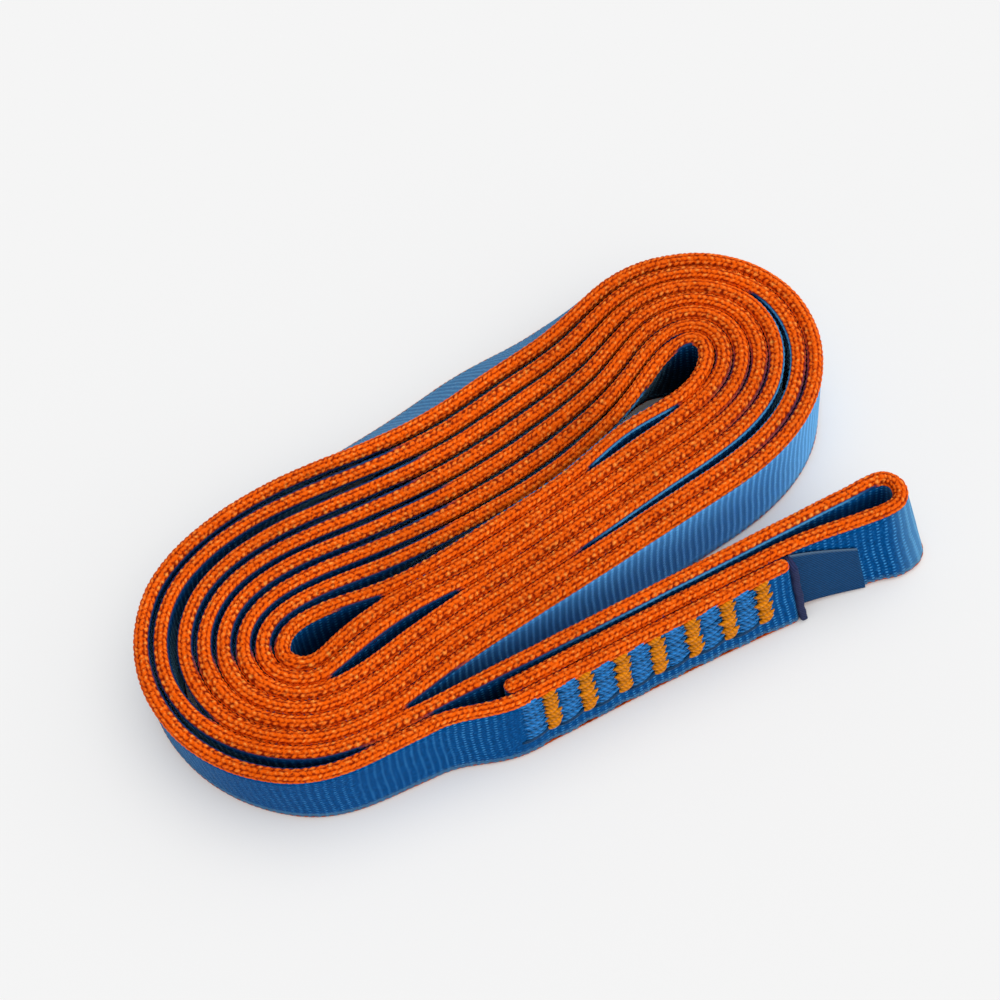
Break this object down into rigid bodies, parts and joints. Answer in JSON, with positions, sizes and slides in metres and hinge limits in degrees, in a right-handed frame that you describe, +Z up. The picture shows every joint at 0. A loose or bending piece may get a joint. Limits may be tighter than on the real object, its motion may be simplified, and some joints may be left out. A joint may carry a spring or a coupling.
{
  "type": "tubular sling",
  "caption": "Sewn runner sling of flat tubular webbing, blue with orange edges, stowed as an oblong coil with its bar-tacked splice and bare label left free.",
  "frame": {"origin": "bottom centre of the whole stowed sling's box, on the ground it lies on", "axes": "+X along the long side of the coil, towards the end with the sewn loop; +Y from the free sewn end towards the back of the coil; +Z up, across the webbing's width"},
  "size_m": [0.1066, 0.0676, 0.016],
  "materials": {
    "webbing": "woven nylon webbing, deep blue faces with light lengthwise ribs and coarse orange knit edges",
    "orange_thread": "orange sewing thread in a dense zigzag",
    "blue_thread": "blue sewing thread in a dense zigzag",
    "label": "bare navy woven label"
  },
  "bodies": {
    "root": {"coil_webbing": "webbing", "front_tail_webbing": "webbing", "loop_tail_webbing": "webbing", "blue_bar_tack_1": "blue_thread", "blue_bar_tack_2": "blue_thread", "blue_bar_tack_3": "blue_thread", "blue_bar_tack_4": "blue_thread", "blue_bar_tack_5": "blue_thread", "blue_bar_tack_6": "blue_thread", "blue_bar_tack_7": "blue_thread", "orange_bar_tack_1": "orange_thread", "orange_bar_tack_2": "orange_thread", "orange_bar_tack_3": "orange_thread", "orange_bar_tack_4": "orange_thread", "orange_bar_tack_5": "orange_thread", "orange_bar_tack_6": "orange_thread", "orange_bar_tack_7": "orange_thread", "woven_label": "label"}
  },
  "joints": []
}
